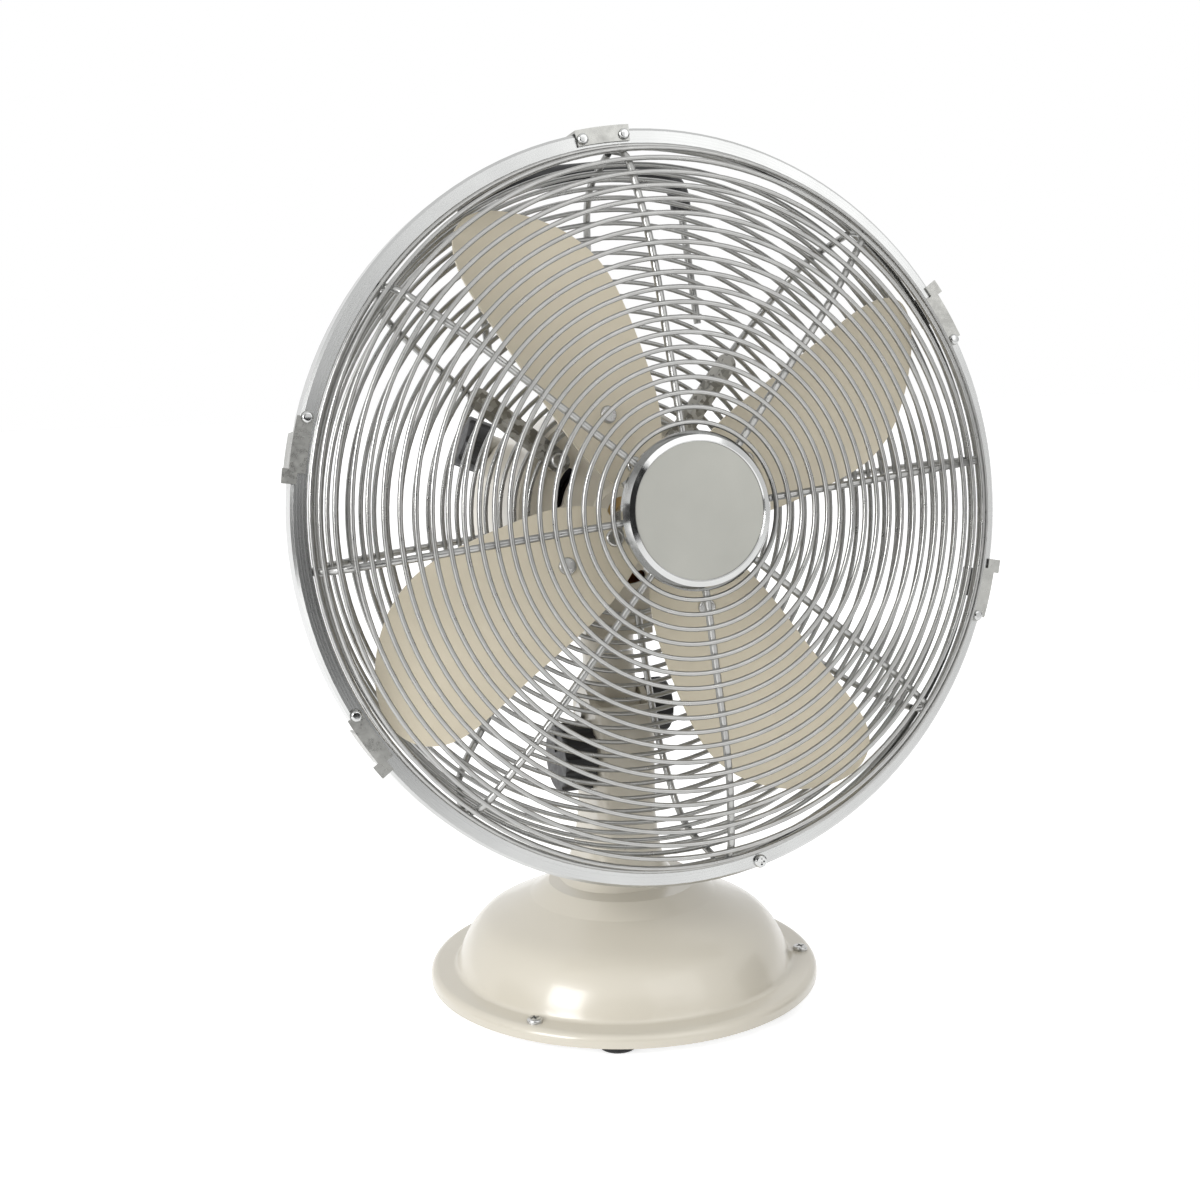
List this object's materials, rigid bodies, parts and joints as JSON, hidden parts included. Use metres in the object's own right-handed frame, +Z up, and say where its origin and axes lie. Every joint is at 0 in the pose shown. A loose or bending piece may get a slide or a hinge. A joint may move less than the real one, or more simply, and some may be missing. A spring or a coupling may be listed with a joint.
{
  "type": "desk fan",
  "caption": "Metal desk fan with a round wire cage, paddle blades, a domed motor housing that tilts and swings, and a column with knobs on a round domed base.",
  "frame": {"origin": "centre of the round base, on the plane that the rubber feet stand on", "axes": "+Z up, the fan blows towards -Y, +X to the right seen from the front"},
  "size_m": [0.3318, 0.2114, 0.401],
  "materials": {
    "cream_paint": "semi-gloss cream paint",
    "beige_paint": "semi-gloss beige paint",
    "chrome_wire": "bright plated wire",
    "chrome_band": "bright plated sheet",
    "satin_disc": "satin disc",
    "galvanised": "mottled zinc",
    "steel": "plain steel",
    "core_steel": "dark laminations",
    "winding": "varnished copper wire",
    "bronze": "sintered bronze",
    "black_plastic": "matte black",
    "white_plastic": "plain moulding",
    "rubber": "black rubber"
  },
  "bodies": {
    "stand": {"base_shell": "cream_paint", "base_plate": "galvanised", "base_screws": "steel", "rubber_feet": "rubber", "cord_grommet": "rubber", "column": "cream_paint", "column_screws": "steel", "speed_switch": "black_plastic", "run_capacitor": "white_plastic", "tilt_bolt": "steel"},
    "speed_knob": {"speed_knob": "black_plastic", "switch_spindle": "steel"},
    "tilt_knob": {"tilt_knob": "black_plastic"},
    "neck": {"neck": "cream_paint", "pivot_pin": "steel", "thrust_washer": "steel"},
    "head": {"motor_mount": "cream_paint", "motor_front_cover": "cream_paint", "motor_rear_cover": "cream_paint", "top_plug": "black_plastic", "stator_core": "core_steel", "stator_windings": "winding", "stator_bolts": "steel", "rear_bracket": "steel", "front_bush": "bronze", "rear_bush": "bronze", "gear_case": "white_plastic", "guard_strips": "galvanised", "strip_screws": "steel", "rear_guard": "chrome_wire", "rim_band": "chrome_band", "front_guard": "chrome_wire", "cap_ring": "chrome_band", "badge_disc": "satin_disc", "cap_back_plate": "galvanised", "cap_screws": "steel", "handle_wire": "chrome_wire", "handle_grip": "black_plastic", "top_strap": "chrome_band", "rim_rivets": "chrome_band", "safety_screw": "chrome_band", "safety_nut": "chrome_band"},
    "rotor": {"motor_shaft": "steel", "rotor_core": "core_steel", "worm": "bronze", "blade_hub": "steel", "fan_blade_1": "beige_paint", "fan_blade_2": "beige_paint", "fan_blade_3": "beige_paint", "fan_blade_4": "beige_paint", "blade_rivets": "steel", "hub_nut": "steel"},
    "worm_wheel": {"worm_wheel": "white_plastic"},
    "oscillation_knob": {"oscillation_knob": "black_plastic"},
    "guard_clip_1": {"guard_clip_1": "chrome_band"},
    "guard_clip_2": {"guard_clip_2": "chrome_band"},
    "guard_clip_3": {"guard_clip_3": "chrome_band"},
    "guard_clip_4": {"guard_clip_4": "chrome_band"}
  },
  "joints": [
    {"name": "tilt", "type": "hinge", "parent": "stand", "child": "neck", "pos_m": [0, 0.012, 0.133], "axis": [1, 0, 0], "range_deg": [-20, 12]},
    {"name": "oscillate", "type": "hinge", "parent": "neck", "child": "head", "pos_m": [0, 0.012, 0.133], "axis": [0, 0.1045, 0.9945], "range_deg": [-35, 35]},
    {"name": "spin", "type": "hinge", "parent": "head", "child": "rotor", "pos_m": [0, -0.05962, 0.23605], "axis": [0, -0.9945, 0.1045], "continuous": true},
    {"name": "wheel_turn", "type": "hinge", "parent": "head", "child": "worm_wheel", "pos_m": [0.00685, 0.0794, 0.2385], "axis": [-0.9272, 0.0392, 0.3726], "continuous": true},
    {"name": "clutch_pull", "type": "slide", "parent": "worm_wheel", "child": "oscillation_knob", "axis": [-0.9272, 0.0392, 0.3726], "range_m": [0, 0.005]},
    {"name": "speed_turn", "type": "hinge", "parent": "stand", "child": "speed_knob", "pos_m": [0, 0.004, 0.1135], "axis": [1, 0, 0], "range_deg": [0, 135]},
    {"name": "tilt_knob_turn", "type": "hinge", "parent": "stand", "child": "tilt_knob", "pos_m": [0, 0.012, 0.133], "axis": [1, 0, 0], "range_deg": [-180, 180]},
    {"name": "clip_1_swing", "type": "hinge", "parent": "head", "child": "guard_clip_1", "pos_m": [-0.15466, -0.06179, 0.28234], "axis": [0, 0.9945, -0.1045], "range_deg": [0, 45]},
    {"name": "clip_2_swing", "type": "hinge", "parent": "head", "child": "guard_clip_2", "pos_m": [-0.14268, -0.07445, 0.16197], "axis": [0, 0.9945, -0.1045], "range_deg": [0, 45]},
    {"name": "clip_3_swing", "type": "hinge", "parent": "head", "child": "guard_clip_3", "pos_m": [0.15118, -0.07246, 0.18087], "axis": [0, 0.9945, -0.1045], "range_deg": [0, 45]},
    {"name": "clip_4_swing", "type": "hinge", "parent": "head", "child": "guard_clip_4", "pos_m": [0.14448, -0.05908, 0.30811], "axis": [0, 0.9945, -0.1045], "range_deg": [0, 45]}
  ],
  "couplings": [
    {"joint": "wheel_turn", "follows": "spin", "ratio": 0.041667}
  ]
}
